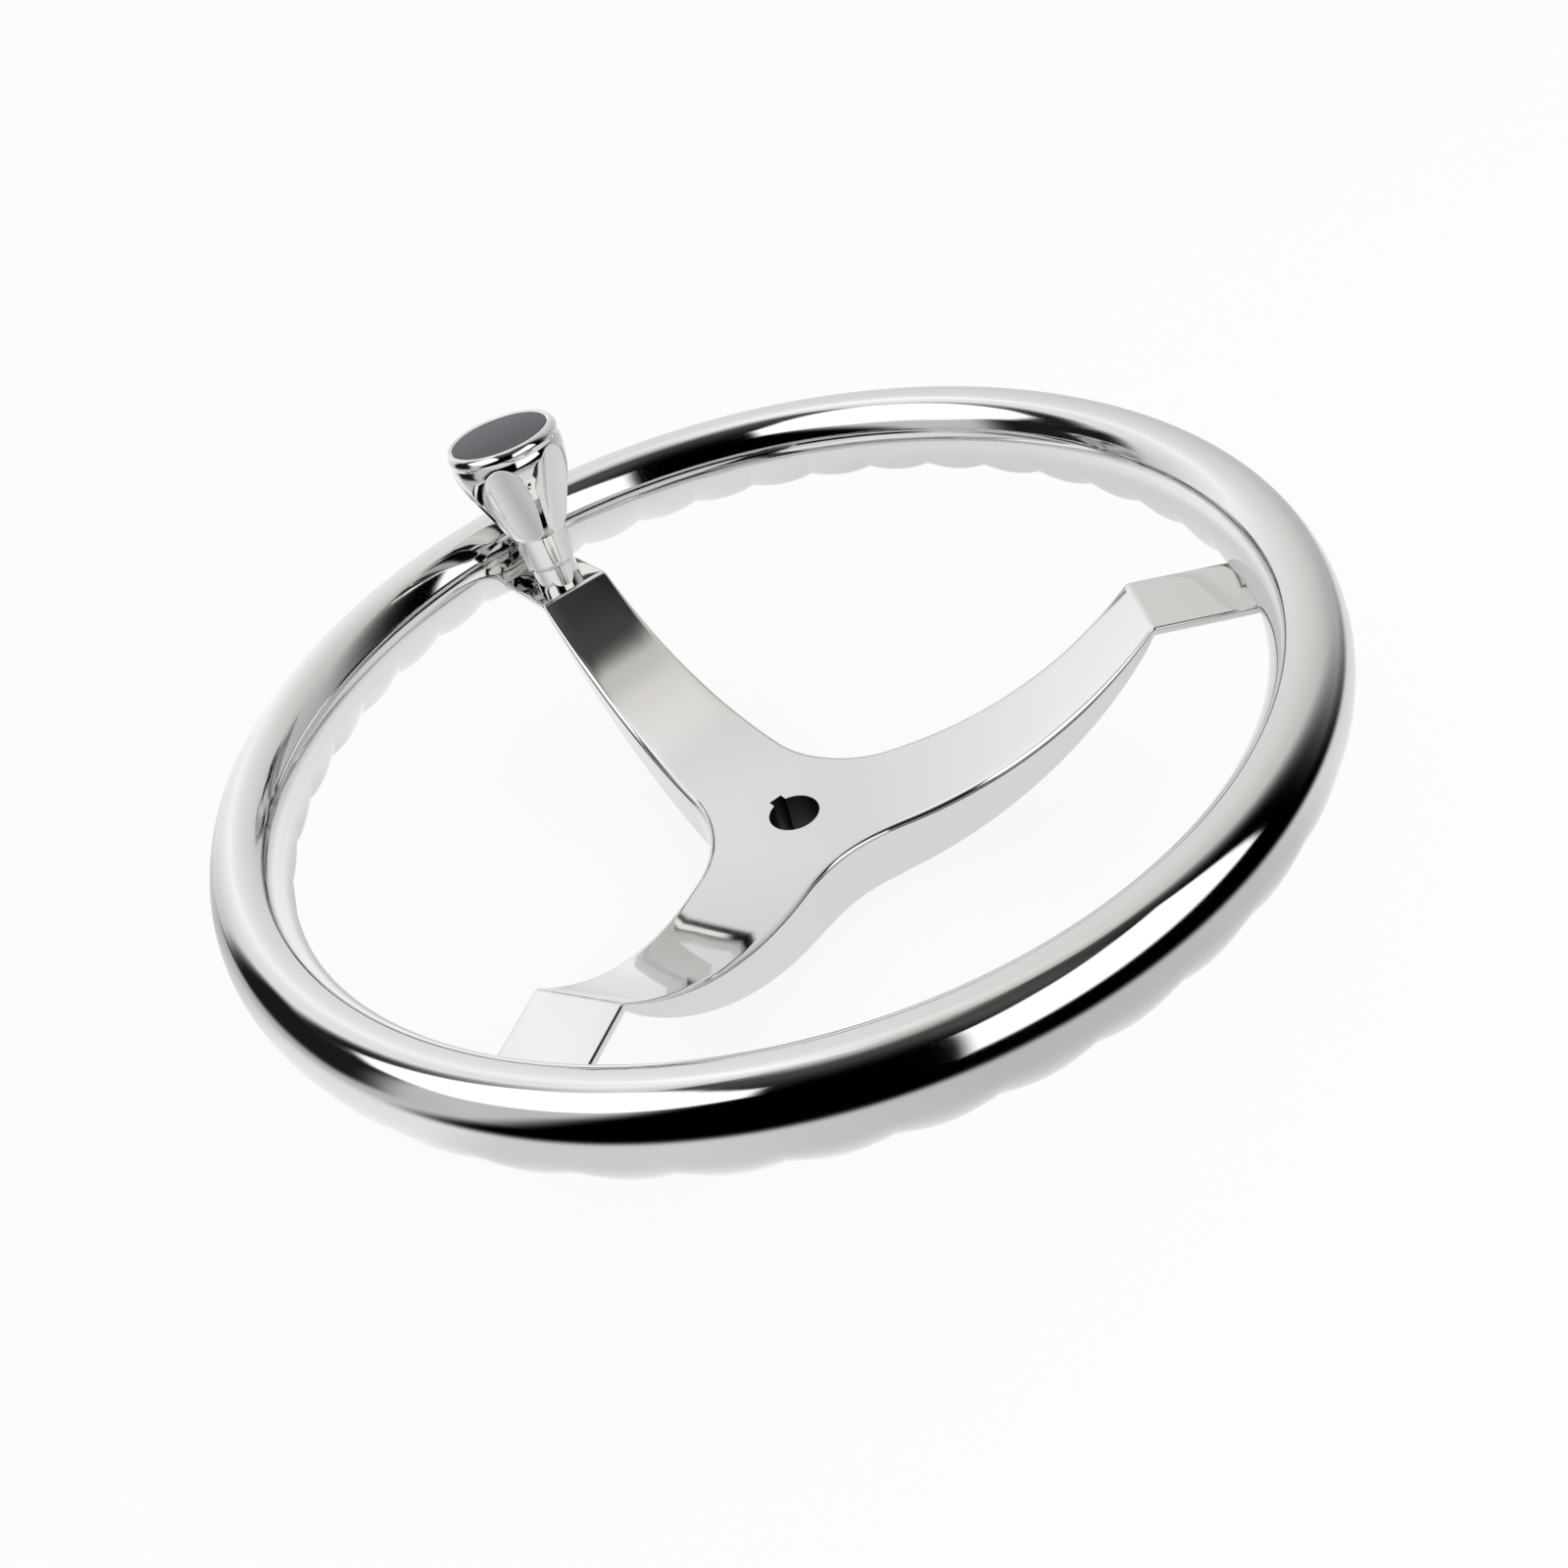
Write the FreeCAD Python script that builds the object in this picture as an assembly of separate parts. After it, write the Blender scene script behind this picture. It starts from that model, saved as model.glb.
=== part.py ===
import FreeCAD, Part
import math, os
from FreeCAD import Vector as V

# A three-spoke stainless boat steering wheel with a spinning power knob.
# Millimetres. Origin: centre of the hub's back face. +Z points to the helmsman,
# +Y runs along the spoke that carries the knob.

# driving sizes: rim
RIM_OD = 342.9            # 13.5 inch wheel
RIM_HALF_W = 11.05        # half width of the oval section, across the tube
RIM_UP = 15.2             # section height above the centreline plane
RIM_LOBE = 16.2           # section depth below it, at the fullest of a finger lobe
RIM_NOTCH = 14.0          # the same at the notch between two lobes
RIM_CAP_R = 8.9           # crown radius of the section
RIM_WALL = 1.8            # tube wall
LOBES = 42
STRIPS = 3                # flat-ruled strips per lobe
RIM_RISE = 6.22           # rim centreline plane above the arms' crease

# driving sizes: pressed spoke plate
SHEET = 3.0
PLATE_Z = 26.0            # top face of the flat middle
FLAT_S = 20.0             # the arms leave the flat here
SWEEP_TURN = 48.1         # degrees that an arm's curve turns through
CREASE_IN = 41.4          # it ends in a crease, this far inside the rim's centreline
STRIP_FALL = 4.0          # degrees the flat strips fall from there to the rim
ARM_HALF_0 = 21.69        # half width of an arm, extrapolated to the centre
ARM_TAPER = 0.0681        # half width lost per mm outward
STRIP_HALF = 13.4         # half width of the strip where it meets the rim
WEB_R = 46.0              # plan radius between two arms
WEB_LOW = 29.3            # nearest point of that edge to the centre
FLANGE = 20.3             # depth of the turned-down edge at the middle
FLANGE_S = 28.0           # it has its full depth inside this distance
FLANGE_POW = 0.62
EDGE_R = 1.6              # rounding of the pressed top edge

# driving sizes: hub
HUB_OD = 38.0
TAPER_D = 19.05           # 3/4 inch shaft, large end of the taper at Z = 0
TAPER = 1.0 / 12.0        # on diameter
KEY_W = 4.76
KEY_DEEP = 2.4

# driving sizes: knob, heights above the top face of the strip
KNOB_IN = 30.4            # distance of the post from the rim's centreline
POST_R = 8.2
POST_H = 8.8
WASHER_T = 0.8
SPINDLE_D = 9.5
RUN_C = 0.05              # radial running clearance of a bush on the spindle
PLAY = 0.1                # axial play of the knob between its two washers
BUSH_OD = 13.0
BUSH_L = 9.0
KNOB_H = 59.3             # top of the bezel
KEEP_R = 8.0              # retaining washer
KEEP_T = 1.2
COLLAR_R = 9.4            # collar above its rounded lowest edge
COLLAR_ROUND = 0.6
NECK = [(9.7, 21.5), (11.0, 23.05), (12.0, 24.8)]   # collar's upper edge and the neck: radius, height
SHOULDER = [(17.3, 21.3), (19.4, 14.8), (20.3, 8.6)]   # radius, depth under the bezel's top
BARREL = [(20.3, 8.6), (20.2, 6.4), (19.75, 4.5)]
BEZEL = [(19.75, 4.5), (20.2, 2.2), (19.1, 0.3)]
INSERT_R = 17.4
INSERT_SUNK = 0.4         # insert's edge under the bezel's top
INSERT_T = 2.3
INSERT_CROWN = 0.9
SCREW_ROOM = 6.5          # upper bush's top under the insert's seat
CROSS_HOLE = 12.0         # radius of the room for the retaining screw
FLUTES = 6
FLUTE_TURN = 25.4         # direction of one ridge between flutes, degrees from +X
FLUTE_LOW = (9.8, 37.8)   # floor of a flute at the collar: distance from the axis, depth under the top
FLUTE_TOP = (19.95, 5.3)  # where it runs out under the bezel
FLUTE_BOW = 0.65          # how deep the floor's arc dips between those two
FLUTE_R = 15.0            # edge radius of the wheel that grinds the flutes

# driving sizes: fasteners
POST_SCREW_D = 6.0
POST_SCREW_L = 15.0       # under the head
BUTTON_R = 5.25
BUTTON_H = 3.3
BUTTON_HEX = 4.0
LOCK_R = 5.9
LOCK_T = 1.6
KEEP_SCREW_D = 5.0
KEEP_SCREW_L = 12.0
PAN_R = 4.6
PAN_H = 3.2
PAN_HEX = 3.0
HOLE_C = 0.2              # radial clearance of a screw in a plain hole

# sizes that follow
RIM_R = RIM_OD / 2.0 - RIM_HALF_W
CREASE_S = RIM_R - CREASE_IN
SWEEP_R = (CREASE_S - FLAT_S) / math.sin(math.radians(SWEEP_TURN))
ARC_Z = PLATE_Z + SWEEP_R
CREASE_Z = ARC_Z - math.sqrt(SWEEP_R ** 2 - (CREASE_S - FLAT_S) ** 2)
RIM_Z = CREASE_Z + RIM_RISE
FALL = math.tan(math.radians(STRIP_FALL))
KNOB_S = RIM_R - KNOB_IN
INSERT_H = KNOB_H - INSERT_SUNK
INSERT_SEAT = INSERT_H - INSERT_T
UPPER_TOP = INSERT_SEAT - SCREW_ROOM   # top of the upper bush


def save(shape, name):
    if len(shape.Solids) == 1:
        shape = shape.Solids[0]
    assert shape.isValid() and len(shape.Solids) == 1 and shape.Volume > 0.0, name
    shape.exportStep("parts/%s.step" % name)
    print(name, "faces", len(shape.Faces), "mm3", round(shape.Volume, 1))


def strip_z(s):
    return CREASE_Z - (s - CREASE_S) * FALL


def spin(profile):
    # a closed (r, z) outline turned about Z
    pts = [V(r, 0, z) for r, z in profile]
    return Part.Face(Part.makePolygon(pts + [pts[0]])).revolve(V(0, 0, 0), V(0, 0, 1), 360)


def prism(points, plane_x, length):
    # a closed (y, z) outline standing in the plane x = plane_x, pulled along +X
    pts = [V(plane_x, y, z) for y, z in points]
    return Part.Face(Part.makePolygon(pts + [pts[0]])).extrude(V(length, 0, 0))


def hexagon(across, height, z):
    r = across / math.sqrt(3.0)
    pts = [V(r * math.cos(math.radians(60 * i)), r * math.sin(math.radians(60 * i)), z) for i in range(6)]
    return Part.Face(Part.makePolygon(pts + [pts[0]])).extrude(V(0, 0, height))


# rim: an oval tube bent to a ring, its underside pressed into finger lobes
def half_section(turn, height, side):
    # three tangent arcs from the outer to the inner equator of the section
    flank = (RIM_HALF_W ** 2 + (height - RIM_CAP_R) ** 2 - RIM_CAP_R ** 2) / (2 * (RIM_HALF_W - RIM_CAP_R))
    cx = flank - RIM_HALF_W
    cz = height - RIM_CAP_R
    reach = math.hypot(cx, cz)
    tx = cx / reach * RIM_CAP_R
    tz = cz + cz / reach * RIM_CAP_R
    half = math.atan2(tz, tx + cx) / 2.0
    mx = -cx + flank * math.cos(half)
    mz = flank * math.sin(half)

    def at(x, z):
        return V((RIM_R + x) * math.cos(turn), (RIM_R + x) * math.sin(turn), RIM_Z + side * z)

    return [Part.Arc(at(RIM_HALF_W, 0), at(mx, mz), at(tx, tz)).toShape(),
            Part.Arc(at(tx, tz), at(0, height), at(-tx, tz)).toShape(),
            Part.Arc(at(-tx, tz), at(-mx, mz), at(-RIM_HALF_W, 0)).toShape()]


stations = LOBES * STRIPS
sections = []
for k in range(stations):
    turn = math.radians(90.0) + 2 * math.pi * k / stations
    q = (k % STRIPS) / STRIPS
    low = RIM_NOTCH + (RIM_LOBE - RIM_NOTCH) * (1 - (2 * q - 1) ** 2)
    sections.append(half_section(turn, RIM_UP, 1) + half_section(turn, low, -1))
skin = []
for k in range(stations):
    for a, b in zip(sections[k], sections[(k + 1) % stations]):
        skin.append(Part.makeRuledSurface(a, b).Faces[0])
rim_outer = Part.Solid(Part.Shell(skin))
if rim_outer.Volume < 0:
    rim_outer.reverse()
# the hollow inside the tube, eight flats round, one length per lobe
rings = []
for k in range(LOBES):
    turn = math.radians(90.0) + 2 * math.pi * (k + 0.5) / LOBES
    ring = []
    for i in range(8):
        a = 2 * math.pi * i / 8 + math.pi / 8
        x = (RIM_HALF_W - RIM_WALL) * math.cos(a)
        z = (RIM_UP - RIM_WALL) * math.sin(a)
        ring.append(V((RIM_R + x) * math.cos(turn), (RIM_R + x) * math.sin(turn), RIM_Z + z))
    rings.append(ring)
flats = []
for k in range(LOBES):
    near = rings[k]
    far = rings[(k + 1) % LOBES]
    for i in range(8):
        j = (i + 1) % 8
        flats.append(Part.Face(Part.makePolygon([near[i], near[j], far[j], far[i], near[i]])))
hollow = Part.Solid(Part.Shell(flats))
if hollow.Volume < 0:
    hollow.reverse()
rim = rim_outer.cut(hollow)


# spoke plate: one pressed sheet, three arms at 90, 210 and 330 degrees
def sweep_z(s, radius):
    return ARC_Z - math.sqrt(radius ** 2 - (s - FLAT_S) ** 2)


def side_profile(end_s):
    # (s, z) side view of a full-depth arm, drawn in the XZ plane
    top_a = V(-2, 0, PLATE_Z)
    top_b = V(FLAT_S, 0, PLATE_Z)
    mid_s = (FLAT_S + CREASE_S) / 2.0
    top_c = V(CREASE_S, 0, CREASE_Z)
    top_d = V(end_s, 0, strip_z(end_s))
    low_d = V(end_s, 0, strip_z(end_s) - SHEET)
    low_c = V(CREASE_S, 0, CREASE_Z - SHEET)
    low_edge = []
    for u in (0.0, 0.03, 0.09, 0.21, 0.38, 0.58, 0.8, 1.0):
        s = CREASE_S + (FLANGE_S - CREASE_S) * u
        low_edge.append(V(s, 0, sweep_z(s, SWEEP_R) - SHEET - (FLANGE - SHEET) * u ** FLANGE_POW))
    low_a = V(-2, 0, PLATE_Z - FLANGE)
    curve = Part.BSplineCurve()
    curve.interpolate(low_edge)
    foot = V(FLANGE_S, 0, PLATE_Z - FLANGE)
    tail = low_edge[-1]
    edges = [Part.makeLine(top_a, top_b),
             Part.Arc(top_b, V(mid_s, 0, sweep_z(mid_s, SWEEP_R)), top_c).toShape(),
             Part.makeLine(top_c, top_d), Part.makeLine(top_d, low_d), Part.makeLine(low_d, low_c),
             curve.toShape()]
    if (tail - foot).Length > 1e-6:
        edges.append(Part.makeLine(tail, foot))
    edges += [Part.makeLine(foot, low_a), Part.makeLine(low_a, top_a)]
    return Part.Face(Part.Wire(edges))


def plan(inset, end_s):
    # outline of one arm's third of the plate, pulled through the full height
    w0 = ARM_HALF_0 - inset
    lean = math.atan(ARM_TAPER)
    centre = V((WEB_LOW + WEB_R) * 0.5, (WEB_LOW + WEB_R) * math.sqrt(3.0) / 2.0, 0)
    r = WEB_R + inset
    low = V((WEB_LOW - inset) * 0.5, (WEB_LOW - inset) * math.sqrt(3.0) / 2.0, 0)
    # the web arc runs from the low point to where it meets the arm's side line
    turn_b = -math.pi / 2.0 - lean
    turn_a = math.radians(240.0)
    side_n = (centre.y - (w0 - ARM_TAPER * centre.x)) * math.cos(lean)
    tan_pt = V(centre.x - side_n * math.sin(lean), centre.y - side_n * math.cos(lean), 0)
    mid = (turn_a + turn_b + 2 * math.pi) / 2.0
    arc_mid = V(centre.x + r * math.cos(mid), centre.y + r * math.sin(mid), 0)
    crease = V(CREASE_S, w0 - ARM_TAPER * CREASE_S, 0)
    tip = V(end_s, STRIP_HALF - inset, 0)

    def flip(p):
        return V(p.x, -p.y, 0)

    edges = [Part.makeLine(V(0, 0, 0), low), Part.Arc(low, arc_mid, tan_pt).toShape(),
             Part.makeLine(tan_pt, crease), Part.makeLine(crease, tip), Part.makeLine(tip, flip(tip)),
             Part.makeLine(flip(tip), flip(crease)), Part.makeLine(flip(crease), flip(tan_pt)),
             Part.Arc(flip(tan_pt), flip(arc_mid), flip(low)).toShape(), Part.makeLine(flip(low), V(0, 0, 0))]
    face = Part.Face(Part.Wire(edges))
    face.translate(V(0, 0, -FLANGE))
    return face.extrude(V(0, 0, FLANGE + RIM_Z + RIM_UP))


strip_end = RIM_R
wide = side_profile(strip_end)
wide.translate(V(0, -RIM_R, 0))
arm = wide.extrude(V(0, 2 * RIM_R, 0)).common(plan(0.0, strip_end))
inner_top = [V(-2, 0, PLATE_Z - SHEET), V(FLAT_S, 0, PLATE_Z - SHEET)]
inner_r = SWEEP_R + SHEET
inner_mid = (FLAT_S + CREASE_S) / 2.0
inner_edges = [Part.makeLine(inner_top[0], inner_top[1]),
               Part.Arc(inner_top[1], V(inner_mid, 0, sweep_z(inner_mid, inner_r)),
                        V(CREASE_S, 0, sweep_z(CREASE_S, inner_r))).toShape(),
               Part.makeLine(V(CREASE_S, 0, sweep_z(CREASE_S, inner_r)), V(CREASE_S, 0, -FLANGE)),
               Part.makeLine(V(CREASE_S, 0, -FLANGE), V(-2, 0, -FLANGE)),
               Part.makeLine(V(-2, 0, -FLANGE), inner_top[0])]
inner = Part.Face(Part.Wire(inner_edges))
inner.translate(V(0, -RIM_R, 0))
pocket = inner.extrude(V(0, 2 * RIM_R, 0)).common(plan(SHEET, CREASE_S))
full = arm
hollowed = pocket
for k in (1, 2):
    more = arm.copy()
    more.rotate(V(0, 0, 0), V(0, 0, 1), 120 * k)
    full = full.fuse(more)
    more = pocket.copy()
    more.rotate(V(0, 0, 0), V(0, 0, 1), 120 * k)
    hollowed = hollowed.fuse(more)
plate = full.removeSplitter()
rounded = []
for e in plate.Edges:
    m = e.valueAt((e.FirstParameter + e.LastParameter) / 2.0)
    s_max = max(math.hypot(v.X, v.Y) for v in e.Vertexes)
    low_side = any(v.Z < PLATE_Z - 0.5 and math.hypot(v.X, v.Y) < CREASE_S - 1 for v in e.Vertexes)
    if low_side or s_max > RIM_R - 5:
        continue
    if m.z < PLATE_Z - 0.5:
        continue
    flat_lower = m.z < strip_z(math.hypot(m.x, m.y)) - SHEET / 2.0 and math.hypot(m.x, m.y) > CREASE_S - 1
    across = math.hypot(m.x, m.y) > CREASE_S - 1.5 and len(e.Vertexes) == 2 and e.Length > STRIP_HALF
    if flat_lower or across:
        continue
    rounded.append(e)
print("edges to round", len(rounded))
plate = plate.makeFillet(EDGE_R, rounded)
plate = plate.cut(hollowed.removeSplitter())
plate.rotate(V(0, 0, 0), V(0, 0, 1), 90)
plate = plate.cut(rim_outer)
plate = max(plate.Solids, key=lambda part: part.Volume)

# hub: a turned boss welded under the plate, bored to the shaft's taper
hub = Part.makeCylinder(HUB_OD / 2.0, PLATE_Z - SHEET)
bore_r0 = TAPER_D / 2.0


def bore_r(z):
    return bore_r0 - TAPER / 2.0 * z


bore = spin([(0, -2), (bore_r(-2), -2), (bore_r(PLATE_Z + 2), PLATE_Z + 2), (0, PLATE_Z + 2)])
keyway = prism([(0, -2), (bore_r(-2) + KEY_DEEP, -2), (bore_r(PLATE_Z + 2) + KEY_DEEP, PLATE_Z + 2),
                (0, PLATE_Z + 2)], -KEY_W / 2.0, KEY_W)
passage = bore.fuse(keyway)
hub = hub.cut(passage)
plate = plate.cut(passage)

# knob post, standing on the strip of the first spoke
post_top = UPPER_TOP
post = spin([(0, 0), (POST_R, 0), (POST_R, POST_H), (SPINDLE_D / 2.0, POST_H),
             (SPINDLE_D / 2.0, post_top + PLAY), (0, post_top + PLAY)])
post = post.cut(Part.makeCylinder(POST_SCREW_D / 2.0, POST_SCREW_L - SHEET - LOCK_T + 1.5))
post = post.cut(Part.makeCylinder(KEEP_SCREW_D / 2.0, KEEP_SCREW_L + 2.0, V(0, 0, post_top + PLAY - KEEP_SCREW_L)))
hole = Part.makeCylinder(POST_SCREW_D / 2.0 + HOLE_C, SHEET + 4, V(0, 0, -SHEET - 2))

# screw and spring washer that hold the post from under the strip
lock = Part.makeCylinder(LOCK_R, LOCK_T, V(0, 0, -SHEET - LOCK_T))
lock = lock.cut(Part.makeCylinder(POST_SCREW_D / 2.0 + HOLE_C, LOCK_T + 2, V(0, 0, -SHEET - LOCK_T - 1)))
head_z = -SHEET - LOCK_T
button = spin([(0, head_z), (BUTTON_R, head_z), (BUTTON_R, head_z - 0.9), (BUTTON_R - 0.9, head_z - 2.2),
               (BUTTON_R - 2.2, head_z - BUTTON_H), (0, head_z - BUTTON_H)])
button = button.cut(hexagon(BUTTON_HEX, 2.2, head_z - BUTTON_H - 0.2))
post_screw = button.fuse(Part.makeCylinder(POST_SCREW_D / 2.0, POST_SCREW_L, V(0, 0, head_z))).removeSplitter()

# thrust washer under the knob
thrust = Part.makeCylinder(POST_R, WASHER_T, V(0, 0, POST_H))
thrust = thrust.cut(Part.makeCylinder(SPINDLE_D / 2.0 + 0.1, WASHER_T + 2, V(0, 0, POST_H - 1)))

# the two bushes pressed into the knob
knob_low = POST_H + WASHER_T + PLAY


def bush(z):
    tube = Part.makeCylinder(BUSH_OD / 2.0, BUSH_L, V(0, 0, z))
    return tube.cut(Part.makeCylinder(SPINDLE_D / 2.0 + RUN_C, BUSH_L + 2, V(0, 0, z - 1)))


lower_bush = bush(knob_low)
upper_bush = bush(UPPER_TOP - BUSH_L)

# knob body: turned, fluted for the palm, a rolled bezel round the insert


def bow(points):
    ends = [V(r, 0, h) for r, h in points]
    return Part.Arc(ends[0], ends[1], ends[2]).toShape()


def ramp(near, far):
    return Part.makeLine(V(near[0], 0, near[1]), V(far[0], 0, far[1]))


def under(points):
    # knob points given as depths under the bezel's top, as heights
    return [(r, KNOB_H - d) for r, d in points]


lip = INSERT_R + 0.5
outline = [ramp((0, NECK[0][1]), NECK[0]), bow(NECK),
           ramp(NECK[2], under(SHOULDER)[0]), bow(under(SHOULDER)), bow(under(BARREL)), bow(under(BEZEL)),
           bow([under(BEZEL)[2], (BEZEL[2][0] - 0.5, KNOB_H), (lip, KNOB_H - 0.05)]),
           ramp((lip, KNOB_H - 0.05), (INSERT_R, INSERT_H)), ramp((INSERT_R, INSERT_H), (INSERT_R, INSERT_SEAT)),
           ramp((INSERT_R, INSERT_SEAT), (0, INSERT_SEAT)), ramp((0, INSERT_SEAT), (0, NECK[0][1]))]
knob = Part.Face(Part.Wire(outline)).revolve(V(0, 0, 0), V(0, 0, 1), 360)
# six palm flutes, each ground by the rounded edge of a wheel whose path is the flute's floor
near, far = under([FLUTE_LOW, FLUTE_TOP])
span = math.hypot(far[0] - near[0], far[1] - near[1])
wheel_r = span ** 2 / (8.0 * FLUTE_BOW) + FLUTE_BOW / 2.0
reach = wheel_r - FLUTE_BOW
wheel_x = (near[0] + far[0]) / 2.0 + reach * (far[1] - near[1]) / span
wheel_z = (near[1] + far[1]) / 2.0 - reach * (far[0] - near[0]) / span
for k in range(FLUTES):
    turn = math.radians(FLUTE_TURN + 180.0 / FLUTES + 360.0 / FLUTES * k)
    centre = V(wheel_x * math.cos(turn), wheel_x * math.sin(turn), wheel_z)
    knob = knob.cut(Part.makeTorus(wheel_r - FLUTE_R, FLUTE_R, centre, V(-math.sin(turn), math.cos(turn), 0)))
# the collar under the flutes is left round
round_in, round_up = COLLAR_R - COLLAR_ROUND, knob_low + COLLAR_ROUND
quarter = COLLAR_ROUND * math.sqrt(0.5)
skirt = [ramp((0, knob_low), (round_in, knob_low)),
         bow([(round_in, knob_low), (round_in + quarter, round_up - quarter), (COLLAR_R, round_up)]),
         ramp((COLLAR_R, round_up), NECK[0]), ramp(NECK[0], (0, NECK[0][1])), ramp((0, NECK[0][1]), (0, knob_low))]
collar = Part.Face(Part.Wire(skirt)).revolve(V(0, 0, 0), V(0, 0, 1), 360)
knob = knob.fuse(collar).removeSplitter()
core = spin([(0, knob_low - 1), (BUSH_OD / 2.0, knob_low - 1), (BUSH_OD / 2.0, knob_low + BUSH_L),
             (BUSH_OD / 2.0 - 1.0, knob_low + BUSH_L), (BUSH_OD / 2.0 - 1.0, UPPER_TOP - BUSH_L),
             (BUSH_OD / 2.0, UPPER_TOP - BUSH_L), (BUSH_OD / 2.0, UPPER_TOP - 0.2), (CROSS_HOLE, UPPER_TOP - 0.2),
             (CROSS_HOLE, INSERT_SEAT + 1), (0, INSERT_SEAT + 1)])
knob = knob.cut(core)

# retaining washer and screw on top of the spindle
keep_z = UPPER_TOP + PLAY
keep = Part.makeCylinder(KEEP_R, KEEP_T, V(0, 0, keep_z))
keep = keep.cut(Part.makeCylinder(KEEP_SCREW_D / 2.0 + HOLE_C, KEEP_T + 2, V(0, 0, keep_z - 1)))
pan_z = keep_z + KEEP_T
pan = spin([(0, pan_z), (PAN_R, pan_z), (PAN_R, pan_z + 1.6), (PAN_R - 1.2, pan_z + PAN_H), (0, pan_z + PAN_H)])
pan = pan.cut(hexagon(PAN_HEX, 2.0, pan_z + PAN_H - 1.8))
shank = Part.makeCylinder(KEEP_SCREW_D / 2.0, KEEP_SCREW_L - 1.0, V(0, 0, pan_z - KEEP_SCREW_L + 1.0))
keep_screw = pan.fuse(shank).removeSplitter()

# insert: a slightly domed disc snapped into the bezel
ball = (INSERT_R ** 2 + INSERT_CROWN ** 2) / (2.0 * INSERT_CROWN)
half_r = INSERT_R / 2.0
dome = Part.Arc(V(0, 0, INSERT_H + INSERT_CROWN),
                V(half_r, 0, INSERT_H + INSERT_CROWN - ball + math.sqrt(ball ** 2 - half_r ** 2)),
                V(INSERT_R, 0, INSERT_H))
insert = Part.Face(Part.Wire([dome.toShape(),
                              Part.makeLine(V(INSERT_R, 0, INSERT_H), V(INSERT_R, 0, INSERT_SEAT)),
                              Part.makeLine(V(INSERT_R, 0, INSERT_SEAT), V(0, 0, INSERT_SEAT)),
                              Part.makeLine(V(0, 0, INSERT_SEAT), V(0, 0, INSERT_H + INSERT_CROWN))]))
insert = insert.revolve(V(0, 0, 0), V(0, 0, 1), 360)

# everything of the knob moves out to its place and stands square on the falling strip
place = V(0, KNOB_S, strip_z(KNOB_S))
for shape in (hole, post, lock, post_screw, thrust, lower_bush, upper_bush, knob, keep, keep_screw, insert):
    shape.rotate(V(0, 0, 0), V(1, 0, 0), -STRIP_FALL)
    shape.translate(place)
print("knob axis through", [round(c, 4) for c in place])
plate = plate.cut(hole)

os.makedirs("parts", exist_ok=True)
save(rim, "rim")
save(plate, "spoke_plate")
save(hub, "hub")
save(post, "knob_post")
save(lock, "post_lock_washer")
save(post_screw, "post_screw")
save(thrust, "thrust_washer")
save(lower_bush, "lower_bush")
save(upper_bush, "upper_bush")
save(knob, "knob_body")
save(keep, "knob_retaining_washer")
save(keep_screw, "knob_retaining_screw")
save(insert, "knob_insert")
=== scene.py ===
import math
import bmesh
import bpy
import numpy as np
from mathutils import Matrix, Vector


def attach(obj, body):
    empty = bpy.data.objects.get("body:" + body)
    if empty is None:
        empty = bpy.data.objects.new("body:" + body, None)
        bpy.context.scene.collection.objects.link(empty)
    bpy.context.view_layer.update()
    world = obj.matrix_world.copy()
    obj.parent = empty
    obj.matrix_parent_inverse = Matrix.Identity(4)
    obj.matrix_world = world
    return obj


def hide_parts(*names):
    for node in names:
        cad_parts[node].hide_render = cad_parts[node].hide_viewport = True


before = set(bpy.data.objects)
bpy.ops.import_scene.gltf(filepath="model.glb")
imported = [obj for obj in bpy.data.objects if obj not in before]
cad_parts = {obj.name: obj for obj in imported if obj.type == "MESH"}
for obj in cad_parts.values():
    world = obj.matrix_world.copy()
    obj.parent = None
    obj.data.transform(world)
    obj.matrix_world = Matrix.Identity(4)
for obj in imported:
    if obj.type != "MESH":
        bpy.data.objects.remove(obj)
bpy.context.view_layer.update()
bpy.context.scene.view_settings.view_transform = "Standard"

# Rim: one oval stainless tube bent to a ring and welded shut. Its underside is pressed
# into forty-two finger lobes with a crisp notch between neighbours, then the whole ring
# is buffed to a mirror. A piece's lengths are millimetres until its mesh is made.
RIM_RADIUS = 160.4
RIM_PLANE = 76.4
RIM_HALF_WIDTH = 11.05
RIM_CROWN_RADIUS = 8.9
RIM_UP = 15.2
RIM_LOBE = 16.2
RIM_NOTCH = 14.0
LOBE_COUNT = 42
LOBE_STATIONS = 12
NOTCH_EASE = 0.012
SECTION_STEPS = 64
STEEL_TONE = (0.69, 0.685, 0.675)


def skin(name, sheets, material, body, sharp=40.0):
    """One mesh that rides its body, from a list of (grid, rows closed, columns closed). A grid
    holds points (rows, columns, 3) in millimetres, and its quads are the faces. Points that
    meet are merged, and edges bent by more than the sharp angle stay crisp."""
    points, faces, start = [], [], 0
    for grid, close_rows, close_columns in sheets:
        rows, columns = grid.shape[:2]
        index = np.arange(rows * columns).reshape(rows, columns) + start
        if close_rows:
            index = np.vstack([index, index[:1]])
        if close_columns:
            index = np.hstack([index, index[:, :1]])
        quads = np.stack([index[:-1, :-1], index[1:, :-1], index[1:, 1:], index[:-1, 1:]], -1)
        points.append(grid.reshape(-1, 3))
        faces.append(quads.reshape(-1, 4))
        start += rows * columns
    mesh = bpy.data.meshes.new(name)
    mesh.from_pydata((np.concatenate(points) * 0.001).tolist(), [], np.concatenate(faces).tolist())
    piece = bpy.data.objects.new(name, mesh)
    bpy.context.scene.collection.objects.link(piece)
    close_up(mesh, sharp)
    mesh.materials.append(material)
    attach(piece, body)
    return piece


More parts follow.
